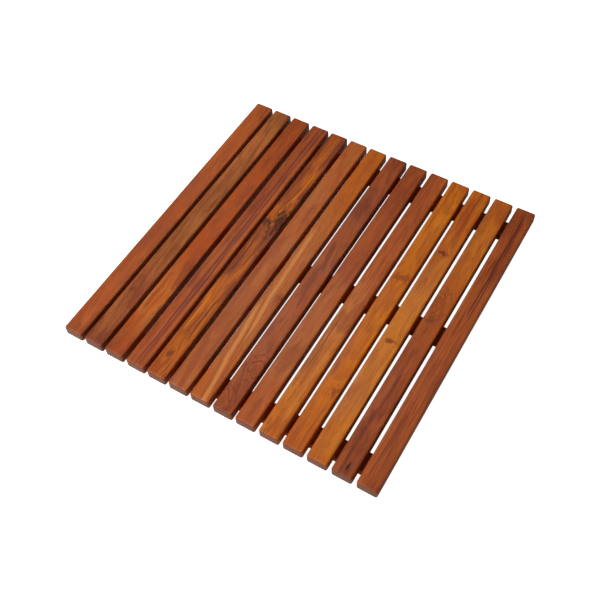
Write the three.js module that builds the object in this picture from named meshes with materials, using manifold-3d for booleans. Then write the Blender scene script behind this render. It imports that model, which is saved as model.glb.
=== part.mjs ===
// Slatted teak bath mat: fourteen slats laid across three cross rails, each slat screwed from
// below to every rail, with rubber feet under the rails.
// Millimetres, +Z up. X runs across the slats, Y along them, and the mat stands on z = 0 with
// the origin under its middle. The front end of the slats is at -Y.
import * as THREE from 'three';
import { mergeVertices } from 'three/addons/utils/BufferGeometryUtils.js';
import Module from 'manifold-3d';

// Driving dimensions
const SLAT_LENGTH = 610;
const SLAT_WIDTH = 35.5;
const GAPS = [6.5, 6.5, 8, 6, 7, 6.5, 7.5, 6.5, 8, 7, 7, 7.5, 7.5]; // left to right
const SLAT_THICKNESS = 19;
const RAIL_WIDTH = 35.5;
const RAIL_THICKNESS = 14;
const RAIL_SHORTFALL = 9; // each rail stops short of the outer slats' outer edges
const END_RAIL_INSET = 44; // from the slats' ends to an end rail's centre line
const MIDDLE_RAIL_OFFSET = 1.5; // towards the back
const TREAD_EDGE_RADIUS = 3; // the slats' upper edges, which bare feet touch
const EDGE_RADIUS = 1.5; // all other long edges
const END_EASING = 1.4; // eased end grain
const CORNER_STEPS = 1; // the curve takes two facets for each step
const END_STEPS = 1;

const FOOT_HEIGHT = 3;
const FOOT_RADIUS = 8;
const FOOT_TAPER = 0.8;
const FOOT_EASING = 0.6;
const FOOT_SIDES = 16;
const FOOT_GAPS = { left: 0, middle: 6, right: 12 }; // the gap that each foot stands under

const SCREW_LENGTH = 26;
const SCREW_HEAD_RADIUS = 4;
const SCREW_HEAD_RIM = 0.4;
const SCREW_HEAD_HEIGHT = 2.6;
const SCREW_SHANK_RADIUS = 2;
const SCREW_TIP_LENGTH = 4;
const SCREW_TIP_RADIUS = 0.4;
const SCREW_SINK = 0.5; // the head lies this far inside the rail
const SCREW_SIDES = 8;
const DRIVE_SPAN = 4.2; // cross recess in the screw head
const DRIVE_WIDTH = 1;
const DRIVE_DEPTH = 1.7;
const CLEARANCE = 0.35; // between a screw and the hole around it

const TEAK = {
  red: '#8f4326',
  brown: '#7f4a2c',
  amber: '#a65a22',
  rail: '#5c2a14',
};
const SLAT_TONES = [
  'red', 'brown', 'red', 'brown', 'amber', 'red', 'amber',
  'brown', 'red', 'amber', 'amber', 'amber', 'red', 'brown',
];

// Levels and places that follow from the driving dimensions
const slatCount = GAPS.length + 1;
const matWidth = slatCount * SLAT_WIDTH + GAPS.reduce((sum, gap) => sum + gap, 0);
const railLength = matWidth - 2 * RAIL_SHORTFALL;
const railBase = FOOT_HEIGHT;
const slatBase = railBase + RAIL_THICKNESS;
const railPlaces = {
  front: END_RAIL_INSET - SLAT_LENGTH / 2,
  middle: MIDDLE_RAIL_OFFSET,
  back: SLAT_LENGTH / 2 - END_RAIL_INSET,
};

function slatCentres() {
  const centres = [];
  let leftEdge = -matWidth / 2;
  for (let i = 0; i < slatCount; i += 1) {
    centres.push(leftEdge + SLAT_WIDTH / 2);
    leftEdge += SLAT_WIDTH + (GAPS[i] ?? 0);
  }
  return centres;
}

const slatX = slatCentres();

// Booleans on closed meshes
const wasm = await Module();
wasm.setup();

function toSolid(geometry) {
  const bare = geometry.clone();
  bare.deleteAttribute('normal');
  bare.deleteAttribute('uv');
  const merged = mergeVertices(bare);
  return new wasm.Manifold(new wasm.Mesh({
    numProp: 3,
    vertProperties: Float32Array.from(merged.attributes.position.array),
    triVerts: Uint32Array.from(merged.index.array),
  }));
}

function toGeometry(solid) {
  const mesh = solid.getMesh();
  const geometry = new THREE.BufferGeometry();
  geometry.setAttribute('position', new THREE.BufferAttribute(mesh.vertProperties, 3));
  geometry.setIndex(new THREE.BufferAttribute(mesh.triVerts, 1));
  geometry.computeVertexNormals();
  return geometry;
}

function cutAll(geometry, cutters) {
  let solid = toSolid(geometry);
  for (const cutter of cutters) {
    solid = solid.subtract(toSolid(cutter));
  }
  return toGeometry(solid);
}

// A bar of planed stock along local z, centred on its middle, with every edge eased
function easedBar(width, thickness, length, upperRadius, lowerRadius) {
  const section = new THREE.Shape();
  const corners = [
    [1, 1, upperRadius],
    [-1, 1, upperRadius],
    [-1, -1, lowerRadius],
    [1, -1, lowerRadius],
  ];
  corners.forEach(([sideX, sideY, radius], i) => {
    const centreX = sideX * (width / 2 - radius);
    const centreY = sideY * (thickness / 2 - radius);
    section.absarc(centreX, centreY, radius, (i * Math.PI) / 2, ((i + 1) * Math.PI) / 2);
  });
  const bar = new THREE.ExtrudeGeometry(section, {
    depth: length - 2 * END_EASING,
    curveSegments: CORNER_STEPS,
    bevelEnabled: true,
    bevelThickness: END_EASING,
    bevelSize: END_EASING,
    bevelOffset: -END_EASING,
    bevelSegments: END_STEPS,
  });
  return bar.translate(0, 0, END_EASING - length / 2);
}

// A solid of revolution about a vertical axis; points are [radius, height] from foot to top
function turned(points, sides) {
  const profile = points.map(([radius, height]) => new THREE.Vector2(radius, height));
  return new THREE.LatheGeometry(profile, sides).rotateX(Math.PI / 2);
}

// A countersunk screw standing on its head, with a cross recess
function screwGeometry() {
  const blank = turned([
    [0, 0],
    [SCREW_HEAD_RADIUS, 0],
    [SCREW_HEAD_RADIUS, SCREW_HEAD_RIM],
    [SCREW_SHANK_RADIUS, SCREW_HEAD_HEIGHT],
    [SCREW_SHANK_RADIUS, SCREW_LENGTH - SCREW_TIP_LENGTH],
    [SCREW_TIP_RADIUS, SCREW_LENGTH],
    [0, SCREW_LENGTH],
  ], SCREW_SIDES);
  const slotHeight = 2 * DRIVE_DEPTH;
  return cutAll(blank, [
    new THREE.BoxGeometry(DRIVE_SPAN, DRIVE_WIDTH, slotHeight),
    new THREE.BoxGeometry(DRIVE_WIDTH, DRIVE_SPAN, slotHeight),
  ]);
}

// The hole that a screw standing at height zero needs, from below its head to past its tip
function screwHole(x, y, z) {
  const mouth = SCREW_HEAD_RADIUS + CLEARANCE;
  const bore = SCREW_SHANK_RADIUS + CLEARANCE;
  return turned([
    [0, -2 * SCREW_SINK],
    [mouth, -2 * SCREW_SINK],
    [mouth, SCREW_HEAD_RIM + CLEARANCE],
    [bore, SCREW_HEAD_HEIGHT + CLEARANCE],
    [bore, SCREW_LENGTH + CLEARANCE],
    [0, SCREW_LENGTH + CLEARANCE],
  ], SCREW_SIDES).translate(x, y, z);
}

const screwLevel = railBase + SCREW_SINK;

function slatGeometry() {
  const centreLevel = slatBase + SLAT_THICKNESS / 2;
  const bar = easedBar(SLAT_WIDTH, SLAT_THICKNESS, SLAT_LENGTH, TREAD_EDGE_RADIUS, EDGE_RADIUS);
  bar.rotateX(Math.PI / 2);
  const holes = Object.values(railPlaces).map((y) => screwHole(0, y, screwLevel - centreLevel));
  return cutAll(bar, holes);
}

function railGeometry() {
  const centreLevel = railBase + RAIL_THICKNESS / 2;
  const bar = easedBar(RAIL_WIDTH, RAIL_THICKNESS, railLength, EDGE_RADIUS, EDGE_RADIUS);
  bar.rotateX(Math.PI / 2).rotateZ(Math.PI / 2);
  const holes = slatX.map((x) => screwHole(x, 0, screwLevel - centreLevel));
  return cutAll(bar, holes);
}

function footGeometry() {
  return turned([
    [0, 0],
    [FOOT_RADIUS - FOOT_TAPER - FOOT_EASING, 0],
    [FOOT_RADIUS - FOOT_TAPER, FOOT_EASING],
    [FOOT_RADIUS, FOOT_HEIGHT],
    [0, FOOT_HEIGHT],
  ], FOOT_SIDES);
}

function place(group, name, geometry, material, position) {
  const mesh = new THREE.Mesh(geometry, material);
  mesh.name = name;
  mesh.position.set(...position);
  group.add(mesh);
}

function oiledTeak(tone) {
  return new THREE.MeshStandardMaterial({ color: TEAK[tone], roughness: 0.5, metalness: 0 });
}

function twoDigits(number) {
  return String(number).padStart(2, '0');
}

function makeSlats() {
  const group = new THREE.Group();
  const geometry = slatGeometry();
  slatX.forEach((x, i) => {
    const name = `slat_${twoDigits(i + 1)}`;
    place(group, name, geometry.clone(), oiledTeak(SLAT_TONES[i]), [x, 0, 0]);
  });
  group.position.z = slatBase + SLAT_THICKNESS / 2;
  return group;
}

function makeRails() {
  const group = new THREE.Group();
  const geometry = railGeometry();
  for (const [side, y] of Object.entries(railPlaces)) {
    place(group, `rail_${side}`, geometry.clone(), oiledTeak('rail'), [0, y, 0]);
  }
  group.position.z = railBase + RAIL_THICKNESS / 2;
  return group;
}

// The middle rail's screws are the same, and are left to the finished model
function makeScrews() {
  const group = new THREE.Group();
  const geometry = screwGeometry();
  for (const side of ['front', 'back']) {
    slatX.forEach((x, i) => {
      const steel = new THREE.MeshStandardMaterial({ color: '#b9bab8', roughness: 0.35, metalness: 1 });
      const name = `screw_${side}_${twoDigits(i + 1)}`;
      place(group, name, geometry.clone(), steel, [x, railPlaces[side], screwLevel]);
    });
  }
  return group;
}

function makeFeet() {
  const group = new THREE.Group();
  const geometry = footGeometry();
  for (const [side, y] of Object.entries(railPlaces)) {
    for (const [where, gap] of Object.entries(FOOT_GAPS)) {
      const rubber = new THREE.MeshStandardMaterial({ color: '#2a2522', roughness: 0.8, metalness: 0 });
      const x = (slatX[gap] + slatX[gap + 1]) / 2;
      place(group, `foot_${side}_${where}`, geometry.clone(), rubber, [x, y, 0]);
    }
  }
  return group;
}

const bathMat = new THREE.Group();
bathMat.add(makeSlats(), makeRails(), makeScrews(), makeFeet());

export default bathMat;
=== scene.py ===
"""A slatted teak bath mat: fourteen oiled slats on three cross rails, screwed from below.

It stands on nine rubber feet. Every piece is built around the box of its CAD node.
"""

import math
import random

import bpy
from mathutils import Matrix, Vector


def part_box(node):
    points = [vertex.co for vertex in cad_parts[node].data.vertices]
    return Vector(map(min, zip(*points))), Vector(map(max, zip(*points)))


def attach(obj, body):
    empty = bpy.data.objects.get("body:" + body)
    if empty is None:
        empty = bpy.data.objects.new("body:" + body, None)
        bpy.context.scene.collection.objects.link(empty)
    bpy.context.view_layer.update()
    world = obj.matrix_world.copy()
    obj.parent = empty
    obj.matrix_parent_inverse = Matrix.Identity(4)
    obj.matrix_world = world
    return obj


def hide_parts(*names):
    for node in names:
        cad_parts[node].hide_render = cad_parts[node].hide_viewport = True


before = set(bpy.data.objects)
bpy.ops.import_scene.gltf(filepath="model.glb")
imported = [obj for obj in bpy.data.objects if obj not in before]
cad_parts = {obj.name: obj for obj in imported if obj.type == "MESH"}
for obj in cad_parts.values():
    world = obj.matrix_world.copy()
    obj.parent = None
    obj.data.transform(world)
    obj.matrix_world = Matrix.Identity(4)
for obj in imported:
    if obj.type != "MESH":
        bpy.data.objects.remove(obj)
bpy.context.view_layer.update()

MM = 0.001
SIDES = ("front", "middle", "back")
FOOT_PLACES = ("left", "middle", "right")
SLAT_COUNT = 14

# Joinery
CORNER_RADIUS = 3.4 * MM     # the four upright corners of a board
TREAD_RADIUS = 3.0 * MM      # a slat's upper edges
ARRIS_RADIUS = 1.5 * MM      # all other edges
ARRIS_STEPS = 4
LENGTH_CUTS = 60
WIDTH_CUTS = 5
UNEVENNESS = 0.16 * MM       # how far planed and oiled wood strays from flat
UNEVEN_PATCH = 45 * MM       # how large its high and low places are
HOLE_SIDES = 40
HOLE_CLEARANCE = 0.35 * MM

# Hardware
HEAD_RADIUS = 4.0 * MM
HEAD_RIM = 0.4 * MM
HEAD_HEIGHT = 2.6 * MM
HEAD_EASING = 0.25 * MM      # how far the head's lower rim is drawn in
HEAD_EASING_HEIGHT = 0.18 * MM
SHANK_RADIUS = 2.0 * MM
CORE_RADIUS = 1.4 * MM       # under the thread
SCREW_SIDES = 32
THREAD_PITCH = 1.8 * MM
THREAD_HALF_BASE = 0.36 * THREAD_PITCH
THREAD_ROOT = 0.3 * MM       # how far the ridge reaches into the core
THREAD_STEPS = 20            # to each turn
THREAD_TRIM = 0.2 * MM       # how far the solid that trims the ridge stands outside its crest
THREAD_START = 0.3 * MM      # where the ridge begins, above the foot of the thread
THREAD_LENGTH = 15 * MM      # from the tip down
THREAD_RUN_OUT = 1.5 * MM    # where the shank narrows to the core
TIP_LENGTH = 4 * MM
TIP_RADIUS = 0.3 * MM
DRIVE_SPAN = 4.2 * MM
DRIVE_WIDTH = 1.0 * MM
DRIVE_DEPTH = 1.7 * MM

# Feet: each stands on a ring, and insets are from its outer radius
FOOT_SIDES = 48
FOOT_HOLLOW = 0.5 * MM       # how far the middle is raised off the floor
FOOT_HOLLOW_INSET = 3.4 * MM
FOOT_RING_INSETS = (2.8 * MM, 1.5 * MM)
FOOT_CHAMFER = ((1.0 * MM, 0.25 * MM), (0.8 * MM, 0.7 * MM))    # inset, height
FOOT_TOP_INSET = 0.1 * MM
FOOT_TOP_BAND = 0.3 * MM

# Oiled finish
OIL_IOR = 1.46
OIL_SPECULAR = 0.22
EDGE_WEAR_REACH = 2.6 * MM

# Studio: places in metres, angles in degrees
KEY_LIGHT = dict(place=(-1.0, -1.2, 2.2), target=(0, 0, 0), size=1.6, watts=79)
SHEEN_LIGHT = dict(place=(-0.57, 0.92, 1.95), target=(0.06, -0.1, 0), size=0.6, watts=6)
AMBIENT_LIGHT = 0.15
FLOOR_SIZE = 12
CAMERA_SENSOR = 36
CAMERA_LENS = 53.6
CAMERA_PLACE = (0.4795, -0.7817, 1.2801)
CAMERA_TURN = (34.36, 1.42, 30.52)

# Oiled teak, light to dark
TONES = {
    "gold": "c4721a",
    "saffron": "be6600",
    "amber": "b05a0c",
    "straw": "c27c3c",
    "honey": "b86c2c",
    "ginger": "aa541f",
    "copper": "a4460a",
    "tan": "a65e2c",
    "russet": "9e4c20",
    "dusk": "9a5029",
    "olive": "905422",
    "brick": "91431b",
    "chestnut": "894423",
    "rosewood": "803816",
    "umber": "6e2f17",
    "plum": "5c2826",
    "burnt": "3e170e",
    "soot": "22100a",
    "end grain": "7d5138",
}


# ---------------------------------------------------------------- mesh work

def deselect():
    bpy.ops.object.select_all(action="DESELECT")


def choose(piece):
    deselect()
    piece.select_set(True)
    bpy.context.view_layer.objects.active = piece


def settle(piece, name):
    """Names a new piece and puts its place, turn and size into its mesh."""
    choose(piece)
    bpy.ops.object.transform_apply(location=True, rotation=True, scale=True)
    piece.name = name
    piece.data.name = name
    return piece


def select_edges(piece, wanted):
    """Selects, in edge mode, the edges for which wanted(one end, other end) is true."""
    bpy.ops.object.mode_set(mode="EDIT")
    bpy.ops.mesh.select_mode(type="EDGE")
    bpy.ops.mesh.select_all(action="DESELECT")
    bpy.ops.object.mode_set(mode="OBJECT")
    places = [vertex.co for vertex in piece.data.vertices]
    for edge in piece.data.edges:
        edge.select = wanted(places[edge.vertices[0]], places[edge.vertices[1]])
    bpy.ops.object.mode_set(mode="EDIT")


def object_mode():
    bpy.ops.object.mode_set(mode="OBJECT")


def select_sharp_edges(piece, level):
    """Selects, in edge mode, the sharp edges that lie at a level."""
    bpy.ops.mesh.select_all(action="DESELECT")
    bpy.ops.mesh.edges_select_sharp(sharpness=math.radians(60))
    object_mode()
    for edge in piece.data.edges:
        heights = [piece.data.vertices[i].co.z for i in edge.vertices]
        edge.select = edge.select and all(abs(height - level) < MM / 10 for height in heights)
    bpy.ops.object.mode_set(mode="EDIT")


def recalculate_normals(piece):
    choose(piece)
    bpy.ops.object.mode_set(mode="EDIT")
    bpy.ops.mesh.select_all(action="SELECT")
    bpy.ops.mesh.normals_make_consistent(inside=False)
    object_mode()


def apply_modifier(piece, kind, **settings):
    choose(piece)
    modifier = piece.modifiers.new(kind.title(), kind)
    for setting, value in settings.items():
        setattr(modifier, setting, value)
    bpy.ops.object.modifier_apply(modifier=modifier.name)


def smooth(piece, degrees=50):
    """Smooth shading that keeps the flats flat and breaks at sharp edges."""
    choose(piece)
    bpy.ops.object.shade_smooth_by_angle(angle=math.radians(degrees))
    apply_modifier(piece, "WEIGHTED_NORMAL", keep_sharp=True)


def remove(piece):
    mesh = piece.data
    bpy.data.objects.remove(piece)
    bpy.data.meshes.remove(mesh)


def duplicate(piece, name, place, turn=0.0):
    """A copy with its own mesh, turned about the vertical and moved from the origin to place."""
    choose(piece)
    bpy.ops.object.duplicate()
    copy = bpy.context.object
    copy.rotation_euler = (0, 0, turn)
    copy.location = place
    return settle(copy, name)


def board(name, node, long_axis, cuts, upper_radius=ARRIS_RADIUS):
    """A planed board that fills the box of a CAD node, with eased edges."""
    low, high = (Vector(corner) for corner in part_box(node))
    size = high - low
    cross_axis = 1 - long_axis
    deselect()
    bpy.ops.mesh.primitive_cube_add(size=1, location=(low + high) / 2, scale=size)
    piece = settle(bpy.context.object, name)

    def runs_along(axis):
        return lambda a, b: abs(a[axis] - b[axis]) > 0.9 * size[axis]

    select_edges(piece, runs_along(long_axis))
    bpy.ops.mesh.subdivide(number_cuts=cuts)
    select_edges(piece, runs_along(cross_axis))
    bpy.ops.mesh.subdivide(number_cuts=WIDTH_CUTS)

    def upright_corner(a, b):
        upright = abs(a.z - b.z) > 0.9 * size.z
        at_end = min(abs(a[long_axis] - low[long_axis]), abs(a[long_axis] - high[long_axis])) < MM
        at_side = min(abs(a[cross_axis] - low[cross_axis]), abs(a[cross_axis] - high[cross_axis])) < MM
        return upright and at_end and at_side

    select_edges(piece, upright_corner)
    bpy.ops.mesh.bevel(offset=CORNER_RADIUS, segments=ARRIS_STEPS, affect="EDGES")
    for level, radius in ((high.z, upper_radius), (low.z, ARRIS_RADIUS)):
        select_sharp_edges(piece, level)
        bpy.ops.mesh.bevel(offset=radius, segments=ARRIS_STEPS, affect="EDGES")
    object_mode()
    return piece


def make_uneven(piece, keep_below):
    """Lets the faces above a level stray a little from flat, as hand-sanded wood does."""
    free = piece.vertex_groups.new(name="free")
    above = [vertex.index for vertex in piece.data.vertices if vertex.co.z > keep_below]
    free.add(above, 1.0, "REPLACE")
    clouds = bpy.data.textures.new("plane marks", "CLOUDS")
    clouds.noise_scale = UNEVEN_PATCH
    apply_modifier(piece, "DISPLACE", texture=clouds, texture_coords="GLOBAL",
                   strength=2 * UNEVENNESS, mid_level=0.5, vertex_group="free")
    piece.vertex_groups.clear()


def turned(name, profile, sides, place=(0, 0, 0)):
    """A solid of revolution about the vertical; profile lists (radius, height) from the bottom up."""
    first_radius, first_height = profile[0]
    deselect()
    bpy.ops.mesh.primitive_circle_add(vertices=sides, radius=first_radius, fill_type="NGON",
                                      location=(0, 0, first_height))
    piece = settle(bpy.context.object, name)
    bpy.ops.object.mode_set(mode="EDIT")
    bpy.ops.mesh.select_all(action="SELECT")
    for (old_radius, old_height), (radius, height) in zip(profile, profile[1:]):
        rise = (0, 0, height - old_height)
        bpy.ops.mesh.extrude_region_move(TRANSFORM_OT_translate={"value": rise})
        scale = radius / old_radius
        bpy.ops.transform.resize(value=(scale, scale, 1), center_override=(0, 0, height))
    object_mode()
    recalculate_normals(piece)
    piece.location = place
    return settle(piece, name)


# ---------------------------------------------------------------- node work

class Graph:
    """A node tree that is wired up one node at a time."""

    def __init__(self, tree):
        self.tree = tree

    def add(self, kind, inputs=None, **settings):
        node = self.tree.nodes.new(kind)
        for setting, value in settings.items():
            setattr(node, setting, value)
        for socket, value in (inputs or {}).items():
            self.feed(node.inputs[socket], value)
        return node

    def feed(self, socket, value):
        if isinstance(value, bpy.types.NodeSocket):
            self.tree.links.new(value, socket)
        elif value is not None:
            socket.default_value = value

    def math(self, operation, a, b=None, c=None):
        node = self.add("ShaderNodeMath", operation=operation)
        for socket, value in zip(node.inputs, (a, b, c)):
            self.feed(socket, value)
        return node.outputs[0]

    def vector(self, operation, a, b=None):
        node = self.add("ShaderNodeVectorMath", operation=operation)
        self.feed(node.inputs[0], a)
        self.feed(node.inputs[1], b)
        return node.outputs["Value" if operation in ("LENGTH", "DISTANCE") else "Vector"]

    def split(self, vector):
        return self.add("ShaderNodeSeparateXYZ", {"Vector": vector}).outputs

    def join(self, x=0.0, y=0.0, z=0.0):
        return self.add("ShaderNodeCombineXYZ", {"X": x, "Y": y, "Z": z}).outputs[0]

    def fade(self, value, start, end, low=0.0, high=1.0):
        """low where value is at start, high where it reaches end, smooth between."""
        node = self.add("ShaderNodeMapRange", {
            "Value": value, "From Min": start, "From Max": end, "To Min": low, "To Max": high,
        }, interpolation_type="SMOOTHSTEP")
        return node.outputs["Result"]

    def noise(self, vector, stretch, detail=2.0, roughness=0.5):
        """Noise with stretch as its cycles per metre along x, y and z."""
        scaled = self.vector("MULTIPLY", vector, stretch)
        node = self.add("ShaderNodeTexNoise", {
            "Vector": scaled, "Scale": 1.0, "Detail": detail, "Roughness": roughness,
        })
        return node.outputs["Fac"]

    def mix(self, share, a, b, blend="MIX"):
        node = self.add("ShaderNodeMix", data_type="RGBA", blend_type=blend)
        self.feed(node.inputs[0], share)
        self.feed(node.inputs[6], a)
        self.feed(node.inputs[7], b)
        return node.outputs[2]

    def group(self, tree, **inputs):
        node = self.add("ShaderNodeGroup", node_tree=tree)
        for socket, value in inputs.items():
            self.feed(node.inputs[socket.replace("_", " ")], value)
        return node.outputs


def new_group(name, inputs, outputs):
    """A node group with the named sockets; returns its graph, its inputs and a function that ends it."""
    tree = bpy.data.node_groups.new(name, "ShaderNodeTree")
    for direction, sockets in (("INPUT", inputs), ("OUTPUT", outputs)):
        for socket, kind in sockets.items():
            tree.interface.new_socket(socket, in_out=direction, socket_type=f"NodeSocket{kind}")
    graph = Graph(tree)
    given = graph.add("NodeGroupInput").outputs
    result = graph.add("NodeGroupOutput")

    def finish(**values):
        for socket, value in values.items():
            graph.feed(result.inputs[socket], value)
        return tree

    return graph, given, finish


def grain_group():
    """Straight teak grain along y: soft bands, streaks, dark dashes, fine fibres and open pores."""
    g, given, finish = new_group(
        "Teak Grain",
        {"Vector": "Vector", "Seed": "Float", "Wander": "Float"},
        {"Patches": "Float", "Bands": "Float", "Streaks": "Float", "Dashes": "Float",
         "Fibres": "Float", "Pores": "Float"})
    shift = g.vector("MULTIPLY", g.join(given["Seed"], given["Seed"], given["Seed"]), (7.3, 3.1, 5.7))
    x, y, z = g.split(given["Vector"])
    sway = g.noise(g.vector("ADD", given["Vector"], shift), (16, 6, 16), detail=2.0)
    sway = g.math("MULTIPLY", g.math("SUBTRACT", sway, 0.5), given["Wander"])
    across = g.math("ADD", x, g.math("MULTIPLY_ADD", z, 0.6, sway))
    line = g.vector("ADD", g.join(across, y, z), shift)
    bands = g.noise(line, (105, 3.6, 60), detail=2.0)
    streaks = g.noise(line, (430, 11, 260), detail=3.0, roughness=0.65)
    dashes = g.noise(line, (760, 34, 600), detail=1.0)
    fibres = g.noise(line, (2600, 60, 1600), detail=2.0, roughness=0.6)
    pores = g.noise(line, (2900, 120, 2400), detail=1.0)
    patches = g.noise(line, (54, 13.0, 36), detail=3.0)
    return finish(
        Patches=g.fade(patches, 0.33, 0.67),
        Bands=g.fade(bands, 0.32, 0.68),
        Streaks=g.fade(streaks, 0.30, 0.70),
        Dashes=g.fade(dashes, 0.60, 0.70),
        Fibres=fibres,
        Pores=g.math("MULTIPLY", g.fade(pores, 0.60, 0.72), g.fade(bands, 0.35, 0.65, 0.35, 1.0)))


def ring_group():
    """Growth rings around a pith line that lies near y, as the saw cut through them."""
    g, given, finish = new_group(
        "Teak Rings",
        {"Vector": "Vector", "Pith": "Vector", "Tilt": "Float", "Rise": "Float", "Width": "Float",
         "Wander": "Float", "Seed": "Float"},
        {"Line": "Float", "Year": "Float"})
    shift = g.join(given["Seed"], given["Seed"], given["Seed"])
    x, y, z = g.split(g.vector("SUBTRACT", given["Vector"], given["Pith"]))
    bend = g.noise(g.vector("ADD", given["Vector"], shift), (22, 5.5, 22), detail=2.0)
    bend = g.math("MULTIPLY", g.math("SUBTRACT", bend, 0.5), given["Wander"])
    away_x = g.math("ADD", g.math("SUBTRACT", x, g.math("MULTIPLY", y, given["Tilt"])), bend)
    away_z = g.math("ADD", g.math("SUBTRACT", z, g.math("MULTIPLY", y, given["Rise"])), bend)
    radius = g.vector("LENGTH", g.join(away_x, 0.0, away_z))
    years = g.math("DIVIDE", radius, given["Width"])
    season = g.math("FRACT", years)
    line = g.math("MULTIPLY", g.fade(season, 0.35, 0.85), g.fade(season, 1.0, 0.93))
    lot = g.add("ShaderNodeTexWhiteNoise", {"W": g.math("FLOOR", years)}, noise_dimensions="1D")
    return finish(Line=line, Year=lot.outputs["Value"])


def knot_group():
    """A knot: its dark heart, the whorl of lines around it, and how far it pushes the grain aside."""
    g, given, finish = new_group(
        "Teak Knot",
        {"Vector": "Vector", "Centre": "Vector", "Half Size": "Vector"},
        {"Heart": "Float", "Whorl": "Float", "Push": "Vector"})
    away = g.vector("SUBTRACT", given["Vector"], given["Centre"])
    reach = g.vector("LENGTH", g.vector("DIVIDE", away, given["Half Size"]))
    ragged = g.noise(given["Vector"], (230, 85, 230), detail=3.0)
    winding = g.noise(given["Vector"], (120, 52, 120), detail=3.0)
    radius = g.math("ADD", reach, g.math("MULTIPLY_ADD", ragged, 2.4, -1.2))
    bulge = g.math("DIVIDE", 1.0, g.math("MULTIPLY_ADD", reach, reach, 0.45))
    x, _y, _z = g.split(away)
    push = g.join(g.math("MULTIPLY", x, g.math("MULTIPLY", bulge, -0.9)))
    turn = g.math("FRACT", g.math("MULTIPLY", g.math("MULTIPLY_ADD", winding, 1.6, reach), 1.5))
    lines = g.math("MULTIPLY", g.fade(turn, 0.4, 0.85), g.fade(turn, 1.0, 0.88))
    around = g.math("MULTIPLY", g.fade(reach, 0.5, 0.9), g.fade(reach, 2.6, 1.2))
    return finish(Heart=g.fade(radius, 1.1, 0.2), Whorl=g.math("MULTIPLY", lines, around), Push=push)


def stripe_group():
    """A long stripe of other-coloured wood along y, wavering and breaking up a little."""
    g, given, finish = new_group(
        "Teak Stripe",
        {"Vector": "Vector", "Across": "Float", "Half Width": "Float", "From": "Float", "To": "Float",
         "Slant": "Float", "Seed": "Float"},
        {"Mask": "Float"})
    shift = g.join(given["Seed"], given["Seed"], given["Seed"])
    line = g.vector("ADD", given["Vector"], shift)
    x, y, _z = g.split(given["Vector"])
    sway = g.math("MULTIPLY_ADD", g.noise(line, (10, 11, 10), detail=2.0), 0.006, -0.003)
    middle = g.math("MULTIPLY_ADD", y, given["Slant"], g.math("ADD", given["Across"], sway))
    away = g.math("ABSOLUTE", g.math("SUBTRACT", x, middle))
    threads = g.noise(line, (700, 7, 400), detail=2.0)
    away = g.math("DIVIDE", away, given["Half Width"])
    away = g.math("ADD", away, g.math("MULTIPLY_ADD", threads, 1.6, -0.8))
    middle_y = g.math("MULTIPLY", g.math("ADD", given["From"], given["To"]), 0.5)
    half_y = g.math("MULTIPLY", g.math("SUBTRACT", given["To"], given["From"]), 0.5)
    along = g.math("DIVIDE", g.math("ABSOLUTE", g.math("SUBTRACT", y, middle_y)), half_y)
    along = g.math("ADD", along, g.math("MULTIPLY_ADD", threads, 0.5, -0.25))
    ends = g.fade(along, 1.05, 0.7)
    return finish(Mask=g.math("MULTIPLY", ends, g.fade(away, 1.2, 0.3)))


def edge_group():
    """Where a board's eased edges are, from its half size."""
    g, given, finish = new_group(
        "Board Edges", {"Vector": "Vector", "Half Size": "Vector", "Reach": "Float"}, {"Mask": "Float"})
    inside = g.vector("SUBTRACT", given["Half Size"], g.vector("ABSOLUTE", given["Vector"]))
    x, y, z = g.split(inside)
    nearer = g.math("MINIMUM", x, y)
    farther = g.math("MAXIMUM", x, y)
    second = g.math("MAXIMUM", nearer, g.math("MINIMUM", farther, z))
    return finish(Mask=g.fade(second, given["Reach"], 0.0))


def surface_group():
    """How oil lies on planed wood: roughness, and the height of fibres, pores and fine scratches."""
    g, given, finish = new_group(
        "Oiled Surface",
        {"Vector": "Vector", "Fibres": "Float", "Pores": "Float", "Streaks": "Float"},
        {"Roughness": "Float", "Height": "Float"})
    cloudy = g.noise(given["Vector"], (38, 12, 38), detail=3.0)
    scratches = g.noise(given["Vector"], (900, 26, 900), detail=1.0)
    rough = g.fade(cloudy, 0.3, 0.7, 0.32, 0.44)
    rough = g.math("ADD", rough, g.math("MULTIPLY", given["Pores"], 0.16))
    rough = g.math("ADD", rough, g.math("MULTIPLY_ADD", scratches, 0.10, -0.05))
    height = g.math("MULTIPLY", given["Pores"], -0.7)
    height = g.math("ADD", height, g.math("MULTIPLY", given["Fibres"], 0.35))
    height = g.math("ADD", height, g.math("MULTIPLY", given["Streaks"], 0.25))
    return finish(Roughness=rough, Height=height)


GRAIN = grain_group()
RINGS = ring_group()
KNOT = knot_group()
STRIPE = stripe_group()
EDGES = edge_group()
SURFACE = surface_group()


def rgba(colour):
    return (*colour, 1.0)


def tone(name):
    """A tone's hex colour as linear light."""
    shown = [int(TONES[name][i:i + 2], 16) / 255 for i in (0, 2, 4)]
    return rgba([value / 12.92 if value < 0.04 else ((value + 0.055) / 1.055) ** 2.4 for value in shown])


def new_material(name):
    material = bpy.data.materials.new(name)
    material.use_nodes = True
    tree = material.node_tree
    shader = tree.nodes["Principled BSDF"]
    return material, Graph(tree), shader


def tone_ramp(g, place, tones):
    """Tones spread evenly along place, which runs from 0 to 1."""
    ramp = g.add("ShaderNodeValToRGB", {"Fac": place})
    elements = ramp.color_ramp.elements
    while len(elements) < len(tones):
        elements.new(0.5)
    for i, name in enumerate(tones):
        elements[i].position = i / (len(tones) - 1)
        elements[i].color = tone(name)
    ramp.color_ramp.interpolation = "EASE"
    return ramp.outputs["Color"]


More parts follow.
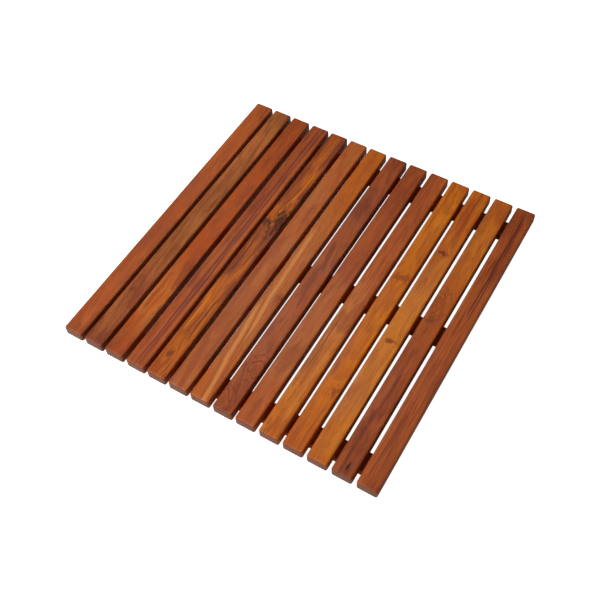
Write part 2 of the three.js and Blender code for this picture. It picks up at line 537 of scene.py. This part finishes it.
def teak(name, node, seed, tones, dark="umber", light="amber", mottle=0.6, streaks=0.4, lights=0.4,
         dashes=0.3, wander=0.009, lean=0.0, pith=(60, -60), tilt=0.0, rise=0.0, ring_width=3.0,
         rings=0.3, long_axis=1, knots=(), stripes=()):
    """Oiled teak for one board. tones run along it from the near end to the far end.

    pith is where the tree's middle lies, in millimetres across and up from the board's own middle.
    A knot is (across, along, half width, half length, tone, heart's strength, whorl's strength) and a
    stripe is (across, half width, from, to, slant, tone, strength). Across and along run from -1 to 1
    over the board, half sizes are in millimetres, and slant is metres across for each metre along, as
    is lean, which is the slant of the grain.
    """
    low, high = (Vector(corner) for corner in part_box(node))
    half = (high - low) / 2
    half_across, half_along = half[1 - long_axis], half[long_axis]
    material, g, shader = new_material(name)
    placed = g.add("ShaderNodeMapping", {
        "Vector": g.add("ShaderNodeTexCoord").outputs["Object"],
        "Location": tuple(-(low + high) / 2),
    }).outputs["Vector"]
    if long_axis == 0:
        x, y, z = g.split(placed)
        placed = g.join(y, x, z)
    pushed = placed
    knot_marks = []
    for across, along, half_width, half_length, *knot_look in knots:
        knot = g.group(KNOT, Vector=placed, Centre=(across * half_across, along * half_along, half.z),
                       Half_Size=(half_width * MM, half_length * MM, 12 * MM))
        pushed = g.vector("ADD", pushed, knot["Push"])
        knot_marks.append((knot, *knot_look))
    _x, y, _z = g.split(placed)
    flowing = g.vector("ADD", pushed, g.join(g.math("MULTIPLY", y, -lean)))
    grain = g.group(GRAIN, Vector=flowing, Seed=seed, Wander=wander)
    ring = g.group(RINGS, Vector=flowing, Pith=(pith[0] * MM, 0, pith[1] * MM), Tilt=tilt, Rise=rise,
                   Width=ring_width * MM, Wander=1.6 * wander, Seed=seed)

    def shade(share, strength, name):
        return g.mix(g.math("MULTIPLY", share, strength), colour, tone(name))

    place = g.math("MULTIPLY_ADD", y, 0.5 / half_along, 0.5)
    stray = g.math("MULTIPLY_ADD", grain["Patches"], 0.12, -0.06)
    colour = tone_ramp(g, g.math("ADD", place, stray), tones)
    colour = shade(g.fade(grain["Patches"], 0.45, 1.0), mottle, dark)
    colour = shade(g.fade(grain["Patches"], 0.55, 0.0), mottle, light)
    colour = shade(g.fade(grain["Bands"], 0.4, 1.0), 0.7 * streaks, dark)
    colour = shade(g.fade(grain["Bands"], 0.5, 0.0), 0.8 * lights, light)
    colour = shade(g.fade(ring["Year"], 0.4, 1.0), 0.6 * rings, light)
    colour = shade(ring["Line"], rings, dark)
    colour = shade(g.fade(grain["Streaks"], 0.5, 1.0), streaks, dark)
    colour = shade(g.fade(grain["Streaks"], 0.45, 0.0), lights, light)
    colour = shade(grain["Dashes"], dashes, "burnt")
    for i, (across, half_width, start, end, slant, stripe_tone, strength) in enumerate(stripes):
        stripe = g.group(STRIPE, Vector=pushed, Across=across * half_across,
                         Half_Width=half_width * MM, From=start * half_along, To=end * half_along,
                         Slant=slant, Seed=seed + 1.7 * i)
        colour = shade(stripe["Mask"], strength, stripe_tone)
    for knot, knot_tone, heart, whorl in knot_marks:
        colour = shade(knot["Whorl"], 0.7 * whorl, "umber")
        colour = shade(knot["Heart"], heart, knot_tone)
    fine = g.fade(grain["Fibres"], 0.25, 0.75, 0.84, 1.14)
    colour = g.mix(1.0, colour, g.join(fine, fine, fine), blend="MULTIPLY")
    colour = g.mix(g.math("MULTIPLY", grain["Pores"], 0.4), colour, tone("soot"))

    edges = g.group(EDGES, Vector=placed, Half_Size=(half_across, half_along, half.z),
                    Reach=EDGE_WEAR_REACH)
    worn = g.math("MULTIPLY", edges["Mask"], g.fade(grain["Patches"], 0.2, 0.9, 0.0, 0.25))
    colour = g.mix(worn, colour, tone("tan"))
    facing = g.split(g.vector("ABSOLUTE", g.add("ShaderNodeTexCoord").outputs["Normal"]))
    sawn_end = g.fade(facing[long_axis], 0.55, 0.9)
    colour = g.mix(g.math("MULTIPLY", sawn_end, 0.8), colour, tone("end grain"))
    end_rings = g.math("MULTIPLY", sawn_end, g.math("MULTIPLY", ring["Line"], 0.5))
    colour = g.mix(end_rings, colour, tone("umber"))

    surface = g.group(SURFACE, Vector=placed, Fibres=grain["Fibres"], Pores=grain["Pores"],
                      Streaks=grain["Streaks"])
    bump = g.add("ShaderNodeBump", {"Height": surface["Height"], "Strength": 0.35, "Distance": 0.25 * MM})
    g.feed(shader.inputs["Base Color"], colour)
    g.feed(shader.inputs["Roughness"], surface["Roughness"])
    g.feed(shader.inputs["Normal"], bump.outputs["Normal"])
    shader.inputs["IOR"].default_value = OIL_IOR
    shader.inputs["Specular IOR Level"].default_value = OIL_SPECULAR
    return material


def stainless_steel():
    """Plain stainless steel with fine turning marks and a little soil."""
    material, g, shader = new_material("stainless steel")
    place = g.add("ShaderNodeTexCoord").outputs["Object"]
    soil = g.noise(place, (260, 260, 260), detail=3.0)
    marks = g.noise(place, (2200, 2200, 5200), detail=2.0)
    colour = g.mix(g.fade(soil, 0.35, 0.75), rgba((0.62, 0.61, 0.59)), rgba((0.40, 0.37, 0.33)))
    g.feed(shader.inputs["Base Color"], colour)
    g.feed(shader.inputs["Roughness"], g.fade(marks, 0.3, 0.7, 0.26, 0.44))
    bump = g.add("ShaderNodeBump", {"Height": marks, "Strength": 0.15, "Distance": 0.05 * MM})
    g.feed(shader.inputs["Normal"], bump.outputs["Normal"])
    shader.inputs["Metallic"].default_value = 1.0
    return material


def foot_rubber():
    """Matt black rubber with a moulded texture and some dust."""
    material, g, shader = new_material("foot rubber")
    place = g.add("ShaderNodeTexCoord").outputs["Object"]
    dust = g.noise(place, (140, 140, 140), detail=3.0)
    pebbles = g.noise(place, (2400, 2400, 2400), detail=2.0)
    colour = g.mix(g.fade(dust, 0.4, 0.8), rgba((0.018, 0.017, 0.016)), rgba((0.050, 0.045, 0.040)))
    g.feed(shader.inputs["Base Color"], colour)
    g.feed(shader.inputs["Roughness"], g.fade(dust, 0.3, 0.7, 0.62, 0.85))
    bump = g.add("ShaderNodeBump", {"Height": pebbles, "Strength": 0.3, "Distance": 0.08 * MM})
    g.feed(shader.inputs["Normal"], bump.outputs["Normal"])
    return material


# ---------------------------------------------------------------- slats

# One entry for each slat, left to right; tones run from its near end to its far end
SLATS = (
    dict(tones=("rosewood", "russet", "brick", "russet", "russet", "rosewood"), dark="chestnut", mottle=0.8,
         light="ginger", rings=0.12, pith=(-90, -30), lean=-0.05,
         stripes=((0.3, 5, -0.6, 0.9, 0.01, "russet", 0.5), (-0.6, 2, -1.1, 0.2, 0.0, "brick", 0.6),
                  (1.6, 2.5, 0.3, 0.6, -0.2, "ginger", 0.5))),
    dict(tones=("umber", "chestnut", "olive", "olive", "tan", "olive"), light="tan", lights=0.3,
         dark="umber", mottle=0.5, streaks=0.3, rings=0.2, pith=(30, -70), tilt=0.06, rise=0.02, lean=-0.06,
         knots=((0.6, 0.12, 8, 24, "umber", 0.75, 0.3), (-0.3, -0.62, 7, 20, "umber", 0.5, 0.4)),
         stripes=((-3.4, 0.9, -0.74, -0.54, -0.3, "umber", 0.8),)),
    dict(tones=("rosewood", "honey", "brick", "russet", "brick", "brick"), light="copper", rings=0.12,
         dark="rosewood", mottle=0.8, streaks=0.3, pith=(-50, -80), tilt=-0.02, lean=-0.03,
         knots=((0.9, -0.22, 5, 14, "umber", 0.5, 0.2),),
         stripes=((0.2, 3, -0.75, -0.45, -0.02, "amber", 0.5),)),
    dict(tones=("brick", "russet", "chestnut", "brick", "russet", "brick"), wander=0.003, light="ginger",
         mottle=0.5, rings=0.1, pith=(120, -20), ring_width=3.4,
         stripes=((0.05, 2.4, -1.1, 1.1, 0.0, "plum", 0.75), (0.38, 1.6, -1.1, 1.1, 0.0, "plum", 0.7),
                  (0.7, 1.8, -1.1, 1.1, 0.0, "ginger", 0.85), (-0.6, 2.0, -1.1, 1.1, 0.002, "plum", 0.2))),
    dict(tones=("copper", "amber", "ginger", "amber", "ginger", "brick"), streaks=0.6, mottle=0.8,
         wander=0.012, dark="umber", light="amber", dashes=0.5, rings=0.25, pith=(40, -50), tilt=0.03,
         rise=0.04,
         knots=((0.55, 0.20, 18, 48, "burnt", 0.95, 0.1), (-0.6, 0.17, 12, 15, "burnt", 0.7, 0.1),
                (-0.2, -0.85, 8, 11, "umber", 0.85, 0.2)),
         stripes=((0.6, 5, 0.66, 1.15, 0.0, "plum", 0.7), (-0.2, 1.6, -0.25, 0.05, 0.04, "burnt", 0.7),
                  (0.2, 1.4, -0.75, -0.4, -0.02, "burnt", 0.8), (0.4, 1.2, -0.2, 0.1, 0.02, "umber", 0.7),
                  (0.25, 2.2, 0.35, 0.65, 0.02, "saffron", 0.9),
                  (-0.5, 2.2, -0.68, -0.4, 0.0, "saffron", 0.85))),
    dict(tones=("russet", "brick", "russet", "ginger", "ginger", "ginger"), mottle=0.8, streaks=0.3,
         dark="chestnut", light="tan", rings=0.1, pith=(-40, -90), tilt=0.03, dashes=0.2, lean=-0.03,
         stripes=((-0.5, 5, -0.75, -0.1, 0.02, "chestnut", 0.7), (0.3, 3, 0.5, 1.0, 0.0, "copper", 0.5))),
    dict(tones=("russet", "tan", "tan", "tan", "amber", "amber"), mottle=0.4, lights=0.3, streaks=0.3,
         dark="brick", light="amber", rings=0.15, pith=(-60, -26), tilt=-0.08, rise=0.02, ring_width=7.0,
         wander=0.006, lean=-0.07, knots=((0.7, -0.26, 8, 14, "rosewood", 0.8, 0.1),),
         stripes=((-0.36, 4.2, -0.6, 0.3, -0.07, "straw", 0.75),
                  (-1.25, 4.4, -1.1, -0.3, -0.098, "straw", 0.75),
                  (-0.78, 1.2, -0.95, -0.25, -0.094, "brick", 0.75),
                  (-0.27, 1.0, -1.0, -0.5, -0.07, "rosewood", 0.75))),
    dict(tones=("rosewood", "dusk", "dusk", "dusk", "chestnut", "brick"), mottle=0.7, streaks=0.3,
         rings=0.2, pith=(20, -35), rise=0.03, light="russet", lean=-0.05,
         knots=((0.1, 0.56, 8, 11, "umber", 0.6, 0.1), (-0.3, 0.70, 9, 8, "umber", 0.5, 0.1),
                (0.5, -0.70, 12, 16, "umber", 0.3, 1.3), (-0.6, -0.95, 12, 18, "umber", 0.4, 1.3))),
    dict(tones=("ginger", "tan", "tan", "russet", "brick", "rosewood"), mottle=0.55, streaks=0.3,
         dark="rosewood", light="russet", rings=0.08, pith=(80, -60), dashes=0.2, lean=0.03),
    dict(tones=("saffron", "gold", "honey", "ginger", "russet", "russet"), dark="rosewood", rings=0.12,
         light="ginger", streaks=0.35, mottle=0.5, pith=(60, -40), tilt=-0.01, dashes=0.5,
         stripes=((-0.4, 1.0, -0.6, -0.2, 0.01, "umber", 0.8), (0.2, 2.4, -1.05, -0.86, 0.0, "copper", 0.9),
                  (0.4, 2.4, -0.9, -0.4, 0.0, "honey", 0.8), (0.1, 0.8, 0.1, 0.5, -0.01, "umber", 0.7))),
    dict(tones=("copper", "amber", "saffron", "amber", "gold", "saffron"), dark="brick", light="saffron",
         mottle=0.5, streaks=0.35, rings=0.4, pith=(10, -50), rise=0.05, ring_width=4.2,
         knots=((0.5, -0.62, 9, 16, "rosewood", 0.85, 0.1), (0.1, 0.2, 24, 13, "rosewood", 0.75, 0.15)),
         stripes=((-0.5, 2.5, 0.5, 1.1, 0.0, "copper", 0.7), (0.5, 2.0, -1.1, -0.7, 0.0, "brick", 0.7))),
    dict(tones=("amber", "honey", "gold", "honey", "amber", "copper"), dark="brick", light="gold",
         mottle=0.4, streaks=0.3, rings=0.15, pith=(-70, -50),
         knots=((-0.25, 0.47, 14, 7, "umber", 0.95, 0.1), (0.0, -0.2, 14, 6, "rosewood", 0.95, 0.1)),
         stripes=((0.1, 2.6, 0.6, 1.1, 0.0, "rosewood", 0.7),)),
    dict(tones=("umber", "umber", "rosewood", "amber", "gold", "amber"), wander=0.010, mottle=0.5,
         streaks=0.35, lights=0.3, dark="brick", light="ginger", rings=0.2, pith=(30, -45), tilt=0.05,
         rise=0.04,
         knots=((-0.7, 0.14, 14, 22, "rosewood", 0.6, 0.7), (-0.2, 0.02, 9, 10, "umber", 0.7, 0.3),
                (0.15, -0.94, 2.6, 15, "soot", 0.95, 0.0)),
         stripes=((-0.8, 5, 0.5, 1.1, -0.01, "olive", 0.8), (0.1, 3, -0.7, -0.35, 0.02, "plum", 0.5),
                  (-0.3, 4, -1.1, -0.6, 0.0, "burnt", 0.4))),
    dict(tones=("brick", "russet", "russet", "ginger", "brick", "rosewood"), streaks=0.5, wander=0.005,
         rings=0.2, pith=(110, -30), ring_width=3.6, mottle=0.5, light="ginger",
         stripes=((0.05, 1.6, 0.1, 1.0, 0.004, "burnt", 0.8), (0.3, 1.4, 0.0, 0.9, 0.004, "plum", 0.85),
                  (0.5, 1.0, -0.9, 0.3, 0.0, "rosewood", 0.8), (-0.5, 2.4, -1.0, 0.3, 0.0, "ginger", 0.6))),
)


def slat_name(number):
    return f"slat_{number:02d}"


def slat_middles():
    """Where each slat's centre line is, left to right."""
    middles = []
    for number in range(1, SLAT_COUNT + 1):
        low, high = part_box(slat_name(number))
        middles.append((low[0] + high[0]) / 2)
    return middles


def rail_middle(side):
    low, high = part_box(f"rail_{side}")
    return (low[1] + high[1]) / 2


def drill(name, places, profile):
    """One mesh of upright cutters, one at each place."""
    cutter = turned(name, profile, HOLE_SIDES)
    copies = [duplicate(cutter, f"{name} {i}", place) for i, place in enumerate(places)]
    remove(cutter)
    deselect()
    for copy in copies:
        copy.select_set(True)
    bpy.context.view_layer.objects.active = copies[0]
    bpy.ops.object.join()
    return bpy.context.object


def bore(piece, cutter):
    apply_modifier(piece, "BOOLEAN", operation="DIFFERENCE", object=cutter, solver="EXACT")
    remove(cutter)


SCREW_LOW, SCREW_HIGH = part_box("screw_front_01")
SCREW_LENGTH = SCREW_HIGH[2] - SCREW_LOW[2]
RAIL_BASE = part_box("rail_front")[0][2]
SCREW_SINK = SCREW_LOW[2] - RAIL_BASE


def hole_profile():
    """The hole for a screw whose head starts at height zero."""
    shank = SHANK_RADIUS + HOLE_CLEARANCE
    head = HEAD_RADIUS + HOLE_CLEARANCE
    return [
        (head, -2 * SCREW_SINK),
        (head, HEAD_RIM + HOLE_CLEARANCE),
        (shank, HEAD_HEIGHT + HOLE_CLEARANCE),
        (shank, SCREW_LENGTH + HOLE_CLEARANCE),
    ]


def dress(piece, material, nodes=()):
    """Gives a finished piece its material and body, and hides the CAD nodes that it stands for."""
    piece.data.materials.clear()
    piece.data.materials.append(material)
    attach(piece, "root")
    if nodes:
        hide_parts(*nodes)


def make_slats(middles):
    for number, (x, look) in enumerate(zip(middles, SLATS), start=1):
        node = slat_name(number)
        piece = board(f"teak_{node}", node, long_axis=1, cuts=LENGTH_CUTS, upper_radius=TREAD_RADIUS)
        low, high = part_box(node)
        make_uneven(piece, keep_below=(low[2] + high[2]) / 2)
        places = [(x, rail_middle(side), SCREW_LOW[2]) for side in SIDES]
        bore(piece, drill("pilot", places, hole_profile()))
        smooth(piece)
        material = teak(f"teak slat {number}", node, seed=float(number), **look)
        dress(piece, material, [node])


def make_rails(middles):
    for number, side in enumerate(SIDES):
        node = f"rail_{side}"
        piece = board(f"teak_{node}", node, long_axis=0, cuts=LENGTH_CUTS)
        places = [(x, rail_middle(side), SCREW_LOW[2]) for x in middles]
        bore(piece, drill("countersink", places, hole_profile()))
        smooth(piece)
        material = teak(f"teak rail {side}", node, seed=30.0 + number, long_axis=0,
                        tones=("russet", "copper", "brick", "copper", "russet"), dark="brick",
                        light="copper")
        dress(piece, material, [node])


def helix(name, turns):
    """A screw thread's ridge: a triangle swept up a helix about the vertical, closed at both ends."""
    inner = CORE_RADIUS - THREAD_ROOT
    deselect()
    bpy.ops.mesh.primitive_circle_add(vertices=3, radius=1, fill_type="NOTHING",
                                      rotation=(math.pi / 2, 0, 0))
    ridge = settle(bpy.context.object, name)
    section = ((inner, -THREAD_HALF_BASE), (SHANK_RADIUS, 0), (inner, THREAD_HALF_BASE))
    for vertex, (radius, height) in zip(ridge.data.vertices, section):
        vertex.co = (radius, 0, height)
    apply_modifier(ridge, "SCREW", axis="Z", angle=2 * math.pi, screw_offset=THREAD_PITCH,
                   iterations=turns, steps=THREAD_STEPS, render_steps=THREAD_STEPS)
    choose(ridge)
    bpy.ops.object.mode_set(mode="EDIT")
    bpy.ops.mesh.select_all(action="SELECT")
    bpy.ops.mesh.fill_holes(sides=4)
    object_mode()
    recalculate_normals(ridge)
    return ridge


def screw_model():
    """A countersunk wood screw that stands on its head at the origin, with a thread and a cross recess."""
    thread_base = SCREW_LENGTH - THREAD_LENGTH
    screw = turned("screw", [
        (HEAD_RADIUS - HEAD_EASING, 0),
        (HEAD_RADIUS, HEAD_EASING_HEIGHT),
        (HEAD_RADIUS, HEAD_RIM),
        (SHANK_RADIUS, HEAD_HEIGHT),
        (SHANK_RADIUS, thread_base),
        (CORE_RADIUS, thread_base + THREAD_RUN_OUT),
        (CORE_RADIUS, SCREW_LENGTH - TIP_LENGTH),
        (TIP_RADIUS, SCREW_LENGTH),
    ], SCREW_SIDES)
    ridge = helix("ridge", math.ceil(THREAD_LENGTH / THREAD_PITCH))
    ridge.location.z = thread_base
    ridge = settle(ridge, "ridge")
    envelope = turned("envelope", [
        (SHANK_RADIUS + THREAD_TRIM, thread_base + THREAD_START),
        (SHANK_RADIUS + THREAD_TRIM, SCREW_LENGTH - TIP_LENGTH),
        (1.6 * TIP_RADIUS, SCREW_LENGTH - 0.4 * MM),
    ], SCREW_SIDES)
    apply_modifier(ridge, "BOOLEAN", operation="INTERSECT", object=envelope, solver="EXACT")
    remove(envelope)
    apply_modifier(screw, "BOOLEAN", operation="UNION", object=ridge, solver="EXACT")
    remove(ridge)
    for span_x, span_y in ((DRIVE_SPAN, DRIVE_WIDTH), (DRIVE_WIDTH, DRIVE_SPAN)):
        deselect()
        bpy.ops.mesh.primitive_cube_add(size=1, scale=(span_x, span_y, 2 * DRIVE_DEPTH))
        bore(screw, settle(bpy.context.object, "drive"))
    return screw


def make_screws(middles):
    model = screw_model()
    smooth(model, 35)
    steel = stainless_steel()
    turns = random.Random(14)
    for side in SIDES:
        for number, x in enumerate(middles, start=1):
            node = f"screw_{side}_{number:02d}"
            nodes = [node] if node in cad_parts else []
            place = (x, rail_middle(side), SCREW_LOW[2])
            piece = duplicate(model, f"steel_{node}", place, turn=turns.uniform(0, math.pi))
            dress(piece, steel, nodes)
    remove(model)


def make_feet():
    rubber = foot_rubber()
    for side in SIDES:
        for where in FOOT_PLACES:
            node = f"foot_{side}_{where}"
            low, high = (Vector(corner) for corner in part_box(node))
            radius = (high.x - low.x) / 2
            height = high.z - low.z
            place = ((low.x + high.x) / 2, (low.y + high.y) / 2, 0)
            piece = turned(f"rubber_{node}", [
                (radius - FOOT_HOLLOW_INSET, FOOT_HOLLOW),
                *((radius - inset, 0.0) for inset in FOOT_RING_INSETS),
                *((radius - inset, level) for inset, level in FOOT_CHAMFER),
                (radius - FOOT_TOP_INSET, height - FOOT_TOP_BAND),
                (radius - FOOT_TOP_INSET, height),
            ], FOOT_SIDES, place)
            smooth(piece, 40)
            dress(piece, rubber, [node])


# ---------------------------------------------------------------- studio

def make_floor():
    """A floor that the camera sees as pure white, while the wood is lit only by what it reflects."""
    deselect()
    bpy.ops.mesh.primitive_plane_add(size=FLOOR_SIZE)
    floor = settle(bpy.context.object, "floor")
    material, g, shader = new_material("floor white")
    shader.inputs["Base Color"].default_value = rgba((0.7, 0.7, 0.7))
    shader.inputs["Roughness"].default_value = 0.9
    shader.inputs["Specular IOR Level"].default_value = 0.1
    shader.inputs["Emission Color"].default_value = rgba((1, 1, 1))
    seen = g.add("ShaderNodeLightPath").outputs["Is Camera Ray"]
    g.feed(shader.inputs["Emission Strength"], seen)
    floor.data.materials.append(material)


def softbox(name, place, target, size, watts):
    light = bpy.data.lights.new(name, "AREA")
    light.shape = "SQUARE"
    light.size = size
    light.energy = watts
    lamp = bpy.data.objects.new(name, light)
    lamp.location = place
    lamp.rotation_euler = (Vector(target) - Vector(place)).to_track_quat("-Z", "Y").to_euler()
    bpy.context.scene.collection.objects.link(lamp)


def make_lights():
    softbox("key", **KEY_LIGHT)
    softbox("sheen", **SHEEN_LIGHT)
    world = bpy.data.worlds.new("studio")
    world.use_nodes = True
    background = world.node_tree.nodes["Background"]
    background.inputs["Color"].default_value = rgba((1, 1, 1))
    g = Graph(world.node_tree)
    seen = g.add("ShaderNodeLightPath").outputs["Is Camera Ray"]
    g.feed(background.inputs["Strength"], g.fade(seen, 0.0, 1.0, AMBIENT_LIGHT, 1.0))
    bpy.context.scene.world = world


def make_camera():
    camera = bpy.data.cameras.new("camera")
    camera.sensor_width = CAMERA_SENSOR
    camera.lens = CAMERA_LENS
    holder = bpy.data.objects.new("camera", camera)
    holder.location = CAMERA_PLACE
    holder.rotation_euler = [math.radians(angle) for angle in CAMERA_TURN]
    bpy.context.scene.collection.objects.link(holder)
    bpy.context.scene.camera = holder


bpy.context.scene.view_settings.view_transform = "Standard"
make_camera()
make_lights()
make_floor()
MIDDLES = slat_middles()
make_slats(MIDDLES)
make_rails(MIDDLES)
make_screws(MIDDLES)
make_feet()
